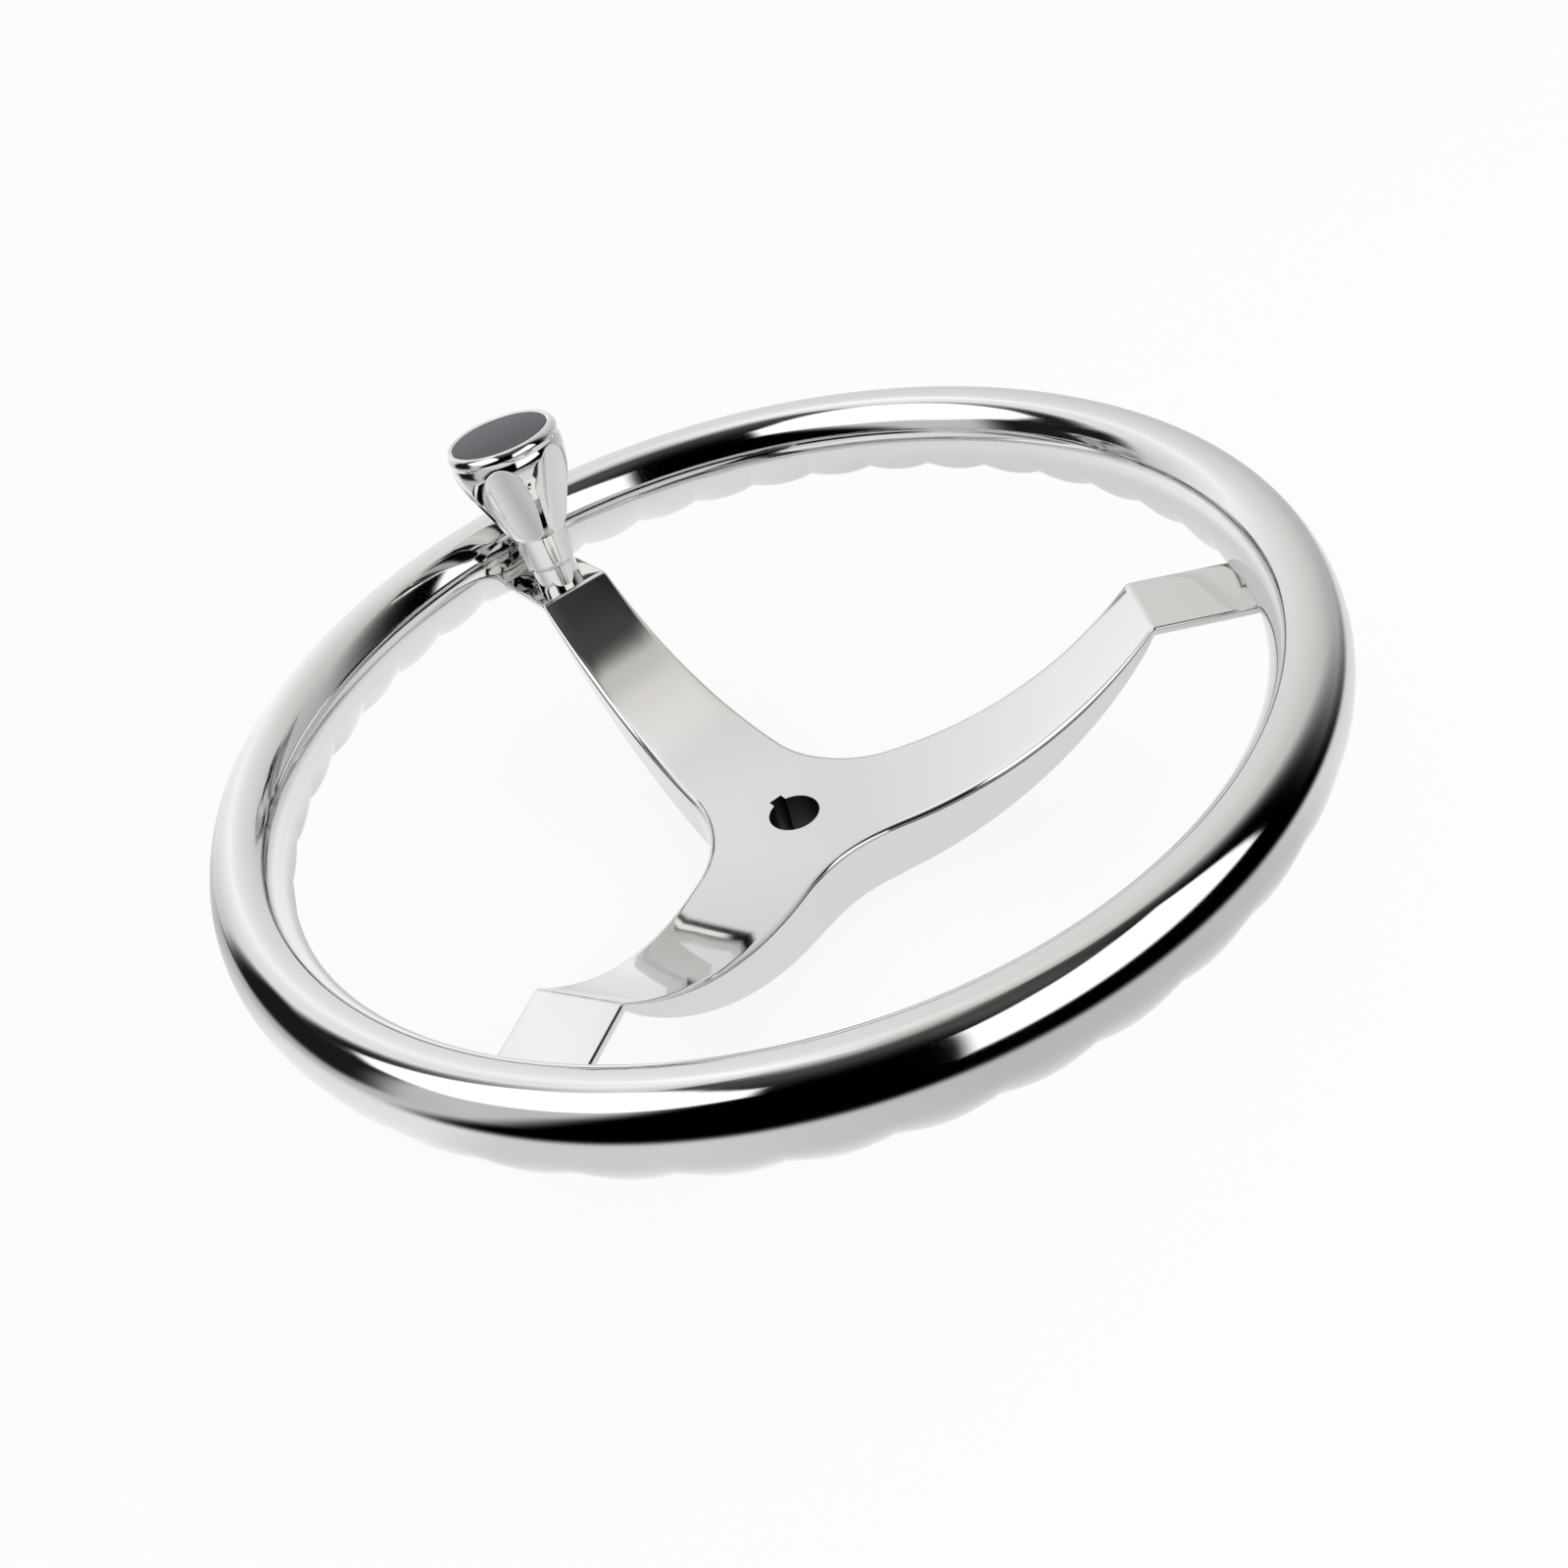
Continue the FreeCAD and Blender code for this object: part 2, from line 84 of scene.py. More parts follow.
def close_up(mesh, sharp):
    """Merge the points that meet, drop faces with no area, turn all faces outwards."""
    work = bmesh.new()
    work.from_mesh(mesh)
    bmesh.ops.remove_doubles(work, verts=work.verts, dist=2e-6)
    bmesh.ops.dissolve_degenerate(work, edges=work.edges, dist=1e-7)
    bmesh.ops.recalc_face_normals(work, faces=work.faces)
    work.to_mesh(mesh)
    work.free()
    mesh.shade_smooth()
    mesh.set_sharp_from_angle(angle=math.radians(sharp))


def oval(turn, height):
    """Point of an oval half section whose outward normal has the angle turn: a flank arc
    centred on the middle plane up to the tangent angle, the crown arc beyond it."""
    flank = RIM_HALF_WIDTH ** 2 + (height - RIM_CROWN_RADIUS) ** 2 - RIM_CROWN_RADIUS ** 2
    flank = flank / (2.0 * (RIM_HALF_WIDTH - RIM_CROWN_RADIUS))
    offset = flank - RIM_HALF_WIDTH
    rise = height - RIM_CROWN_RADIUS
    tangent = np.arctan2(rise, offset)
    side = np.where(np.cos(turn) < 0.0, -1.0, 1.0)
    up = np.where(np.sin(turn) < 0.0, -1.0, 1.0)
    lean = np.arctan2(np.abs(np.sin(turn)), np.abs(np.cos(turn)))
    on_flank = lean < tangent
    across = np.where(on_flank, flank * np.cos(lean) - offset, RIM_CROWN_RADIUS * np.cos(lean))
    along = np.where(on_flank, flank * np.sin(lean), rise + RIM_CROWN_RADIUS * np.sin(lean))
    return side * across, up * along


def blank_material(name):
    """A new material, its node tree's nodes and links, and the shader inside it."""
    mat = bpy.data.materials.new(name)
    mat.use_nodes = True
    nodes = mat.node_tree.nodes
    return mat, nodes, mat.node_tree.links, nodes["Principled BSDF"]


def noise(nodes, links, place, scale, detail):
    """A noise pattern of so many cells to the metre, laid out on the coordinates place."""
    pattern = nodes.new("ShaderNodeTexNoise")
    pattern.inputs["Scale"].default_value = scale
    pattern.inputs["Detail"].default_value = detail
    links.new(place, pattern.inputs["Vector"])
    return pattern.outputs["Fac"]


def remap(nodes, links, value, source, target):
    """The value's range source, (low, high), stretched onto the range target and held there."""
    ranged = nodes.new("ShaderNodeMapRange")
    ranged.inputs["From Min"].default_value = source[0]
    ranged.inputs["From Max"].default_value = source[1]
    ranged.inputs["To Min"].default_value = target[0]
    ranged.inputs["To Max"].default_value = target[1]
    links.new(value, ranged.inputs["Value"])
    return ranged.outputs["Result"]


def bump(nodes, links, height, depth, under=None):
    """A normal tilted by the slope of the pattern height, so many metres deep, on top of the
    bump under it."""
    tilted = nodes.new("ShaderNodeBump")
    tilted.inputs["Distance"].default_value = depth
    links.new(height, tilted.inputs["Height"])
    if under:
        links.new(under, tilted.inputs["Normal"])
    return tilted.outputs["Normal"]


def polished_steel(name, tone, low, high, wave, scratch):
    """Buffed stainless: a metal whose roughness drifts from low to high over soft blotches and
    fine buffing lines. The wall is wavy by wave metres and the lines are scratch metres deep."""
    mat, nodes, links, shader = blank_material(name)
    shader.inputs["Base Color"].default_value = (*tone, 1.0)
    shader.inputs["Metallic"].default_value = 1.0
    place = nodes.new("ShaderNodeTexCoord").outputs["Object"]
    stretch = nodes.new("ShaderNodeMapping")
    stretch.inputs["Scale"].default_value = (1.0, 0.08, 0.08)
    links.new(place, stretch.inputs["Vector"])
    blotches = noise(nodes, links, place, 28.0, 3.0)
    lines = noise(nodes, links, stretch.outputs["Vector"], 900.0, 2.0)
    both = nodes.new("ShaderNodeMath")
    both.operation = "MULTIPLY_ADD"
    both.inputs[1].default_value = 0.35
    links.new(lines, both.inputs[0])
    links.new(blotches, both.inputs[2])
    gloss = remap(nodes, links, both.outputs["Value"], (0.45, 0.95), (low, high))
    links.new(gloss, shader.inputs["Roughness"])
    swell = bump(nodes, links, noise(nodes, links, place, 14.0, 1.0), wave)
    links.new(bump(nodes, links, lines, scratch, swell), shader.inputs["Normal"])
    return mat


rim_steel = polished_steel("buffed_rim_steel", STEEL_TONE, 0.035, 0.09, 0.00004, 0.0000004)
# stations round one lobe crowd together at its two notches, where the wall turns sharply
half_lobe = 0.5 * np.linspace(0.0, 1.0, LOBE_STATIONS)[:-1] ** 1.7
lobe_place = np.concatenate([half_lobe, [0.5], 1.0 - half_lobe[:0:-1]])
lobe_at = np.arange(LOBE_COUNT)[:, None] + lobe_place[None, :]
round_angle = (math.pi / 2.0 + 2.0 * math.pi * lobe_at / LOBE_COUNT).reshape(-1, 1)
nearer_notch = np.minimum(lobe_place, 1.0 - lobe_place)
from_notch = np.sqrt(nearer_notch ** 2 + NOTCH_EASE ** 2) - NOTCH_EASE
lobe_depth = RIM_NOTCH + (RIM_LOBE - RIM_NOTCH) * (1.0 - (1.0 - 2.0 * from_notch) ** 2)
section_angle = np.linspace(0.0, 2.0 * math.pi, SECTION_STEPS, endpoint=False)[None, :]
half_height = np.where(np.sin(section_angle) >= 0.0, RIM_UP, np.tile(lobe_depth, LOBE_COUNT)[:, None])
across, along = oval(np.broadcast_to(section_angle, half_height.shape), half_height)
ring_radius = RIM_RADIUS + across
rim_grid = np.stack([ring_radius * np.cos(round_angle),
                     ring_radius * np.sin(round_angle),
                     RIM_PLANE + along], -1)
rim = skin("finger_grip_rim", [(rim_grid, True, True)], rim_steel, "wheel")
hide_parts("rim")

# Spoke plate: one stainless sheet, blanked to three arms, dished so that the arms sweep up
# to the rim, and its long edges turned down into a flange that is deepest round the hub.
# A crease ends each sweep, and a flat strip falls gently from it to the rim's inner wall.
SHEET = 3.0
PLATE_TOP = 26.0
SWEEP_START = 20.0
CREASE = 119.0
SWEEP_TURN = math.radians(48.1)
SWEEP_RADIUS = (CREASE - SWEEP_START) / math.sin(SWEEP_TURN)
CREASE_TOP = PLATE_TOP + SWEEP_RADIUS * (1.0 - math.cos(SWEEP_TURN))
CREASE_EASE = 1.0
STRIP_FALL = math.radians(4.0)
ARM_HALF = 21.69
ARM_TAPER = 0.0681
STRIP_HALF = 13.4
STRIP_END = 153.0
WEB_RADIUS = 46.0
WEB_LOW = 29.3
FLANGE_DEPTH = 20.3
FLANGE_FULL = 28.0
FLANGE_POWER = 0.62
TURN_RADIUS = 2.1
STRIP_TURN = 0.9
CROWN_DROP = 0.22
CROWN_REACH = 6.0
CROWN_START = 40.0
FADE = 25.0
FOOT_RADIUS = 0.5
BEND_INSIDE = 0.8
CREASE_NEAR = 1.5
TOP_STEPS = 15
PLATE_SHARP = 35.0
SPOKES = (90.0, 210.0, 330.0)


def arm_rise(s):
    """Height of the sheet's top at distance s along an arm: flat, a circle's arc up to the
    crease, then the falling strip. A parabola eases the crease over a short reach."""
    bow = np.clip(s, SWEEP_START, CREASE) - SWEEP_START
    arc = PLATE_TOP + SWEEP_RADIUS - np.sqrt(SWEEP_RADIUS ** 2 - bow ** 2)
    fall = np.maximum(s - CREASE, 0.0) * math.tan(STRIP_FALL)
    bend = (math.tan(SWEEP_TURN) + math.tan(STRIP_FALL)) / (4.0 * CREASE_EASE)
    return arc - fall - bend * np.maximum(CREASE_EASE - np.abs(s - CREASE), 0.0) ** 2


def flange_depth(s):
    """How far the turned-down edge reaches below the sheet's top: the sheet's thickness at
    the crease, growing by a power law to its full depth round the hub."""
    share = np.clip((CREASE - s) / (CREASE - FLANGE_FULL), 0.0, 1.0)
    return SHEET + (FLANGE_DEPTH - SHEET) * share ** FLANGE_POWER


def sheet_depth(s):
    """Thickness of the sheet measured straight down, more on the slope than on the flat."""
    rise = np.clip(s, SWEEP_START, CREASE) - SWEEP_START
    steep = SHEET * SWEEP_RADIUS / np.sqrt(SWEEP_RADIUS ** 2 - rise ** 2)
    return np.minimum(np.where(s > CREASE, SHEET, steep), flange_depth(s))


def crown(distance):
    """How far the pressing has pulled the top down near an edge, by the square of the depth
    into a border of fixed width."""
    return CROWN_DROP * np.maximum(1.0 - distance / CROWN_REACH, 0.0) ** 2


# one edge of an arm from the web's lowest point out to the rim: points and outward normals
lean = math.atan(ARM_TAPER)
web_centre = (WEB_LOW + WEB_RADIUS) * np.array([math.cos(math.pi / 3.0), math.sin(math.pi / 3.0)])
sweep = np.linspace(-2.0 * math.pi / 3.0, -math.pi / 2.0 - lean, 40)
web_part = web_centre + WEB_RADIUS * np.stack([np.cos(sweep), np.sin(sweep)], -1)
web_start, web_end = web_part[0, 0], web_part[-1, 0]
arm_s = np.concatenate([np.linspace(web_end, CREASE - CREASE_NEAR, 80)[1:],
                        np.linspace(CREASE - CREASE_NEAR, CREASE + CREASE_NEAR, 21)[1:],
                        np.linspace(CREASE + CREASE_NEAR, STRIP_END, 20)[1:]])
crease_half = ARM_HALF - ARM_TAPER * CREASE
strip_w = crease_half + (STRIP_HALF - crease_half) * (arm_s - CREASE) / (STRIP_END - CREASE)
arm_part = np.stack([arm_s, np.where(arm_s < CREASE, ARM_HALF - ARM_TAPER * arm_s, strip_w)], -1)
edge = np.concatenate([web_part, arm_part])
edge_normal = np.concatenate([(web_centre - web_part) / WEB_RADIUS,
                              np.tile([math.sin(lean), math.cos(lean)], (len(arm_s), 1))])
# each edge point has a partner on the arm's middle line, and the top runs between the two
web_mid = (edge[:, 0] - web_start) / (web_end - web_start) * web_end
mid = np.where(edge[:, 0] < web_end, web_mid, edge[:, 0])
middle = np.stack([mid, np.zeros(len(mid))], -1)
border = edge - edge_normal * CROWN_REACH
top_share = 1.0 - (1.0 - np.linspace(0.0, 1.0, TOP_STEPS)[None, :, None]) ** 1.5
top_xy = middle[:, None] * (1.0 - top_share) + border[:, None] * top_share
# the edge turns down over a radius that is smaller along the strip than along the sweep
turn_radius = np.interp(edge[:, 0], [CREASE - FADE, CREASE], [TURN_RADIUS, STRIP_TURN])[:, None]
run = np.linspace(0.0, 1.0, 9)[None, 1:]
turn = np.linspace(0.0, math.pi / 2.0, 8)[None, 1:]
inset = np.concatenate([CROWN_REACH + (turn_radius - CROWN_REACH) * run,
                        turn_radius * (1.0 - np.sin(turn))], 1)
drop = np.concatenate([np.zeros((len(edge), run.size)), turn_radius * (1.0 - np.cos(turn))], 1)
brow_xy = edge[:, None] - edge_normal[:, None] * inset[..., None]
# the crown fades out in the webs round the hub, where the sheet stays flat
crown_share = np.clip((edge[:, :1] - CROWN_START) / FADE, 0.0, 1.0)
brow_z = arm_rise(brow_xy[..., 0]) - drop - crown(inset) * crown_share
top_z = arm_rise(top_xy[..., 0])
# the turned-down edge: outer wall, rounded foot, inner wall, then the sheet's underside
low_z = arm_rise(edge[:, 0]) - flange_depth(edge[:, 0])
foot_top = low_z + FOOT_RADIUS
wall = np.linspace(0.0, 1.0, 9)[None, 1:]
wall_top = np.maximum(brow_z[:, -1], low_z)
wall_z = wall_top[:, None] * (1.0 - wall) + foot_top[:, None] * wall
wall_xy = np.repeat(edge[:, None], wall.size, 1)
foot_turn = np.linspace(0.0, math.pi, 7)[1:]
foot_in = np.concatenate([FOOT_RADIUS * (1.0 - np.cos(foot_turn[:3])),
                          SHEET - FOOT_RADIUS * (1.0 + np.cos(foot_turn[3:]))])
foot_z = foot_top[:, None] - FOOT_RADIUS * np.sin(foot_turn)[None, :]
foot_xy = edge[:, None] - edge_normal[:, None] * foot_in[None, :, None]
inner_edge = edge - edge_normal * SHEET
back_z = arm_rise(inner_edge[:, 0]) - sheet_depth(inner_edge[:, 0])
back_top = np.maximum(back_z - BEND_INSIDE, foot_top)
climb = np.linspace(0.0, 1.0, 7)[None, 1:]
inner_z = foot_top[:, None] * (1.0 - climb) + back_top[:, None] * climb
inner_xy = np.repeat(inner_edge[:, None], climb.size, 1)
soffit = np.linspace(1.0, 0.0, TOP_STEPS)[None, :, None]
soffit_edge = edge - edge_normal * (SHEET + BEND_INSIDE)
soffit_xy = middle[:, None] * (1.0 - soffit) + soffit_edge[:, None] * soffit
soffit_z = arm_rise(soffit_xy[..., 0]) - sheet_depth(soffit_xy[..., 0])
half_xy = np.concatenate([top_xy, brow_xy, wall_xy, foot_xy, inner_xy, soffit_xy], 1)
half_z = np.concatenate([top_z, brow_z, wall_z, foot_z, inner_z, soffit_z], 1)
# six mirrored halves make the plate, and a cap closes each where the strip meets the rim
plate_sheets = []
for spoke in SPOKES:
    for hand in (1.0, -1.0):
        turned = math.radians(spoke)
        x, y = half_xy[..., 0], half_xy[..., 1] * hand
        grid = np.stack([x * math.cos(turned) - y * math.sin(turned),
                         x * math.sin(turned) + y * math.cos(turned), half_z], -1)
        cap = np.stack([grid[-1, :TOP_STEPS], grid[-1, ::-1][:TOP_STEPS]], 0)
        plate_sheets.append((grid, False, False))
        plate_sheets.append((cap, False, False))
plate_steel = polished_steel("buffed_plate_steel", STEEL_TONE, 0.03, 0.065, 0.00005, 0.0000004)
plate = skin("pressed_spoke_plate", plate_sheets, plate_steel, "wheel", PLATE_SHARP)

# Hub: a turned stainless boss welded under the plate. Its bore is a one in twelve taper for
# the helm's shaft, and a keyway is broached along the bore on the knob's side. The bore's
# walls are dull steel painted almost black, a painted shade that makes the hole look dark.
HUB_RADIUS = 19.0
TAPER_RADIUS = 9.525
TAPER_LEAN = 1.0 / 24.0
KEY_HALF = 2.38
KEY_DEEP = 2.4
BORE_STEPS = 180
BORE_MOUTH = 0.6
HUB_EDGE = 1.0
CUT_PAST = 2.0
WALL_NEAR = TAPER_RADIUS + KEY_DEEP + 0.4
WALL_STEEP = 0.7


def lathe(profile, steps):
    """A turned surface: the (radius, height) profile at equal steps round the axis."""
    profile = np.asarray(profile, float)
    angle = np.linspace(0.0, 2.0 * math.pi, steps, endpoint=False)[:, None]
    height = np.broadcast_to(profile[:, 1], (steps, len(profile)))
    return np.stack([profile[:, 0] * np.cos(angle), profile[:, 0] * np.sin(angle), height], -1)


def keyed_bore(z):
    """Outline of the bore at height z: the taper's circle, pushed out to the keyway's floor
    where the angle from +Y lies inside the keyway's width."""
    r = TAPER_RADIUS - TAPER_LEAN * z
    half = math.asin(KEY_HALF / r)
    deep = r + KEY_DEEP
    corner = math.atan2(KEY_HALF, deep)
    reach = math.hypot(KEY_HALF, deep)
    angle = np.concatenate([np.linspace(half, 2.0 * math.pi - half, BORE_STEPS), [-corner, 0.0, corner]])
    size = np.concatenate([np.full(BORE_STEPS, r), [reach, deep, reach]])
    return np.stack([size * -np.sin(angle), size * np.cos(angle), np.full(angle.size, z)], -1)


def shade_bore_walls(mesh, material):
    """Give the bore's walls, the steep faces close to the axis, their own material, the nearly black
    painted shade of the hole.
    """
    mesh.materials.append(material)
    for face in mesh.polygons:
        middle_radius = math.hypot(face.center.x, face.center.y) * 1000.0
        if middle_radius < WALL_NEAR and abs(face.normal.z) < WALL_STEEP:
            face.material_index = 1


hub_steel = polished_steel("turned_hub_steel", (0.60, 0.59, 0.575), 0.12, 0.24, 0.00001, 0.000002)
# painted shade: the bore's walls are coloured almost black so that the hole reads dark; only their dull
# roughness is the steel's own
bore_shade_steel = polished_steel("bore_painted_shade", (0.05, 0.047, 0.043), 0.35, 0.55, 0.00001, 0.000004)
hub_top = PLATE_TOP - SHEET
outer_angle = np.arctan2(keyed_bore(0.0)[:, 0], keyed_bore(0.0)[:, 1])
hub_outer = []
for r, z in ((HUB_RADIUS - HUB_EDGE, 0.0), (HUB_RADIUS, HUB_EDGE), (HUB_RADIUS, hub_top)):
    level_z = np.full(outer_angle.size, z)
    hub_outer.append(np.stack([r * np.sin(outer_angle), r * np.cos(outer_angle), level_z], -1))
hub_loop = np.stack(hub_outer + [keyed_bore(hub_top), keyed_bore(BORE_MOUTH), keyed_bore(0.0)])
hub = skin("hub_boss", [(hub_loop, True, True)], hub_steel, "wheel", 30.0)
shade_bore_walls(hub.data, bore_shade_steel)
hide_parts("hub")
# the plate is cut through with the same keyed taper
cutter_mesh = bpy.data.meshes.new("bore_cutter")
lower, upper = keyed_bore(hub_top - CUT_PAST), keyed_bore(PLATE_TOP + CUT_PAST)
count = len(lower)
ring = np.arange(count)
following = (ring + 1) % count
cutter_faces = np.stack([ring, following, following + count, ring + count], -1).tolist()
cutter_faces += [ring[::-1].tolist(), (ring + count).tolist()]
cutter_mesh.from_pydata((np.concatenate([lower, upper]) * 0.001).tolist(), [], cutter_faces)
cutter = bpy.data.objects.new("bore_cutter", cutter_mesh)
bpy.context.scene.collection.objects.link(cutter)
close_up(cutter_mesh, 30.0)
cut = plate.modifiers.new("bore", "BOOLEAN")
cut.object = cutter
cut.operation = "DIFFERENCE"
cut.solver = "EXACT"
bored = bpy.data.meshes.new_from_object(plate.evaluated_get(bpy.context.evaluated_depsgraph_get()))
plate.modifiers.clear()
plate.data = bored
plate.data.shade_smooth()
plate.data.set_sharp_from_angle(angle=math.radians(PLATE_SHARP))
bpy.data.objects.remove(cutter)
# the plate's bore walls get the same painted shade
shade_bore_walls(plate.data, bore_shade_steel)
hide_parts("spoke_plate")

# Knob post: turned from bar, a short boss that stands square on the first spoke's strip and
# a slim spindle inside the knob. A screw from below pulls it down on the strip.
KNOB_S = 130.0
POST_RADIUS = 8.2
POST_HEIGHT = 8.8
SPINDLE_RADIUS = 4.75
SPINDLE_TOP = 50.2
POST_EDGE = 0.3
SPINDLE_EDGE = 0.6
POST_STEPS = 160
KNOB_PLACE = np.array([0.0, KNOB_S, CREASE_TOP - (KNOB_S - CREASE) * math.tan(STRIP_FALL)])


def on_strip(grid):
    """The grid leant outwards with the strip's fall and moved to the knob's place on it."""
    x, y, z = grid[..., 0], grid[..., 1], grid[..., 2]
    leant_y = y * math.cos(STRIP_FALL) + z * math.sin(STRIP_FALL)
    leant_z = z * math.cos(STRIP_FALL) - y * math.sin(STRIP_FALL)
    return np.stack([x, leant_y, leant_z], -1) + KNOB_PLACE


post_steel = polished_steel("turned_post_steel", STEEL_TONE, 0.04, 0.09, 0.00001, 0.0000006)
post_profile = [(0.0, 0.0), (POST_RADIUS, 0.0),
                (POST_RADIUS, POST_HEIGHT - POST_EDGE), (POST_RADIUS - POST_EDGE, POST_HEIGHT),
                (SPINDLE_RADIUS, POST_HEIGHT), (SPINDLE_RADIUS, SPINDLE_TOP - SPINDLE_EDGE),
                (SPINDLE_RADIUS - SPINDLE_EDGE, SPINDLE_TOP), (0.0, SPINDLE_TOP)]
post_grid = on_strip(lathe(post_profile, POST_STEPS))
post = skin("knob_post", [(post_grid, True, False)], post_steel, "wheel", 25.0)
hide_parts("knob_post")

# Thrust washer: a thin plain-bearing ring of natural acetal that the knob turns on.
WASHER = 0.8
WASHER_EDGE = 0.15
WASHER_GAP = 0.1
WASHER_STEPS = 128
acetal, acetal_nodes, acetal_links, acetal_shader = blank_material("natural_acetal")
acetal_shader.inputs["Roughness"].default_value = 0.45
acetal_place = acetal_nodes.new("ShaderNodeTexCoord").outputs["Object"]
acetal_ramp = acetal_nodes.new("ShaderNodeValToRGB")
acetal_ramp.color_ramp.elements[0].color = (0.70, 0.68, 0.63, 1.0)
acetal_ramp.color_ramp.elements[1].color = (0.80, 0.79, 0.76, 1.0)
acetal_links.new(noise(acetal_nodes, acetal_links, acetal_place, 160.0, 2.0), acetal_ramp.inputs["Fac"])
acetal_links.new(acetal_ramp.outputs["Color"], acetal_shader.inputs["Base Color"])
washer_top = POST_HEIGHT + WASHER
washer_profile = [(SPINDLE_RADIUS + WASHER_GAP, POST_HEIGHT), (POST_RADIUS - WASHER_EDGE, POST_HEIGHT),
                  (POST_RADIUS, POST_HEIGHT + WASHER_EDGE), (POST_RADIUS, washer_top - WASHER_EDGE),
                  (POST_RADIUS - WASHER_EDGE, washer_top), (SPINDLE_RADIUS + WASHER_GAP, washer_top)]
washer_grid = on_strip(lathe(washer_profile, WASHER_STEPS))
washer = skin("thrust_washer", [(washer_grid, True, True)], acetal, "wheel", 30.0)
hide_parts("thrust_washer")

# Knob body: a solid stainless knob, turned, then ground with six shallow palm flutes that run
# from the collar and end in a round arch under the rolled bezel. Buffing leaves the ridges
# between them as bright bands. Heights are above the strip.
KNOB_LOW = 9.7
COLLAR_TOP = 21.5
KNOB_TOP = 59.3
INSERT_RADIUS = 17.4
INSERT_EDGE = 58.9
INSERT_SEAT = 56.6
FLUTE_COUNT = 6
RIDGE_TURN = math.radians(25.4)
FLUTE_LOW = (9.8, 21.5)
FLUTE_TOP = (19.95, 54.0)
FLUTE_BOW = 0.65
FLUTE_BLEND = 0.3
WHEEL_EDGE = 15.0
WELL_RADIUS = 12.0
WELL_FLOOR = 49.9
BUSH_BORE = 6.5
NECK_BORE = 5.5
UPPER_SHOULDER = 41.1
LOWER_SHOULDER = 18.7
KNOB_STEPS = 432
# the outside from the collar's foot up to the insert, a run to a row: where it ends, the
# point that it passes if it is an arc, and its number of stations
KNOB_FOOT = (8.8, KNOB_LOW)
KNOB_RUNS = [
    ((9.4, 10.3), (9.22, 9.88), 7),
    ((9.69, 21.3), None, 14),
    ((9.7, COLLAR_TOP), None, 3),
    ((9.87, 21.66), None, 3),
    ((12.0, 24.8), (11.0, 23.05), 22),
    ((17.3, 38.0), None, 54),
    ((20.3, 50.7), (19.4, 44.5), 50),
    ((19.75, 54.8), (20.2, 52.9), 26),
    ((19.1, 59.0), (20.2, 57.1), 24),
    ((17.9, 59.25), (18.6, KNOB_TOP), 8),
    ((INSERT_RADIUS, INSERT_EDGE), None, 3)]


def arc_points(a, b, c, steps):
    """Points along the circle through three (radius, height) points, from the first to the
    third. Its centre is where the bisectors of the two chords cross."""
    (ax, ay), (bx, by), (cx, cy) = a, b, c
    double = 2.0 * (ax * (by - cy) + bx * (cy - ay) + cx * (ay - by))
    aa, bb, cc = ax * ax + ay * ay, bx * bx + by * by, cx * cx + cy * cy
    ux = (aa * (by - cy) + bb * (cy - ay) + cc * (ay - by)) / double
    uy = (aa * (cx - bx) + bb * (ax - cx) + cc * (bx - ax)) / double
    start, end = math.atan2(ay - uy, ax - ux), math.atan2(cy - uy, cx - ux)
    end = start + (end - start + math.pi) % (2.0 * math.pi) - math.pi
    angle = np.linspace(start, end, steps)
    radius = math.hypot(ax - ux, ay - uy)
    return np.stack([ux + radius * np.cos(angle), uy + radius * np.sin(angle)], -1)


def straight(a, b, steps):
    """Evenly spaced (radius, height) points from a to b."""
    share = np.linspace(0.0, 1.0, steps)[:, None]
    return np.array(a) * (1.0 - share) + np.array(b) * share


def outline(corner, runs):
    """A turned outline: from its first corner through the runs, arcs and straight lines."""
    points = []
    for end, way, steps in runs:
        run = arc_points(corner, way, end, steps) if way else straight(corner, end, steps)
        points.append(run[1:] if points else run)
        corner = end
    return np.concatenate(points)


def fluted(radius, height, angle):
    """The turned radius cut back by six flutes. Each is the mark of a grinding wheel with a
    rounded edge, a torus: at this height and angle the cut reaches in to where a level line
    from the axis meets the torus, found by halving. The two meet over a short blend."""
    chord = np.subtract(FLUTE_TOP, FLUTE_LOW)
    span = math.hypot(chord[0], chord[1])
    wheel = span ** 2 / (8.0 * FLUTE_BOW) + FLUTE_BOW / 2.0
    outwards = np.array([chord[1], -chord[0]])
    hub_at = np.add(FLUTE_LOW, FLUTE_TOP) / 2.0 + (wheel - FLUTE_BOW) / span * outwards
    off = (angle - RIDGE_TURN) % (2.0 * math.pi / FLUTE_COUNT) - math.pi / FLUTE_COUNT
    near = np.zeros(np.broadcast(radius, off).shape)
    far = radius + 1.5 + np.zeros_like(off)
    for _ in range(26):
        middle_r = (near + far) / 2.0
        from_hub = np.hypot(middle_r * np.cos(off) - hub_at[0], height - hub_at[1])
        inside = np.hypot(from_hub - (wheel - WHEEL_EDGE), middle_r * np.sin(off)) < WHEEL_EDGE
        near, far = np.where(inside, near, middle_r), np.where(inside, middle_r, far)
    gap = np.clip(0.5 + 0.5 * (radius - far) / FLUTE_BLEND, 0.0, 1.0)
    blended = radius * (1.0 - gap) + far * gap - FLUTE_BLEND * gap * (1.0 - gap)
    on_flank = (height > COLLAR_TOP) & (height < FLUTE_TOP[1] + 0.6)
    return np.where(on_flank, np.minimum(blended, radius), radius)


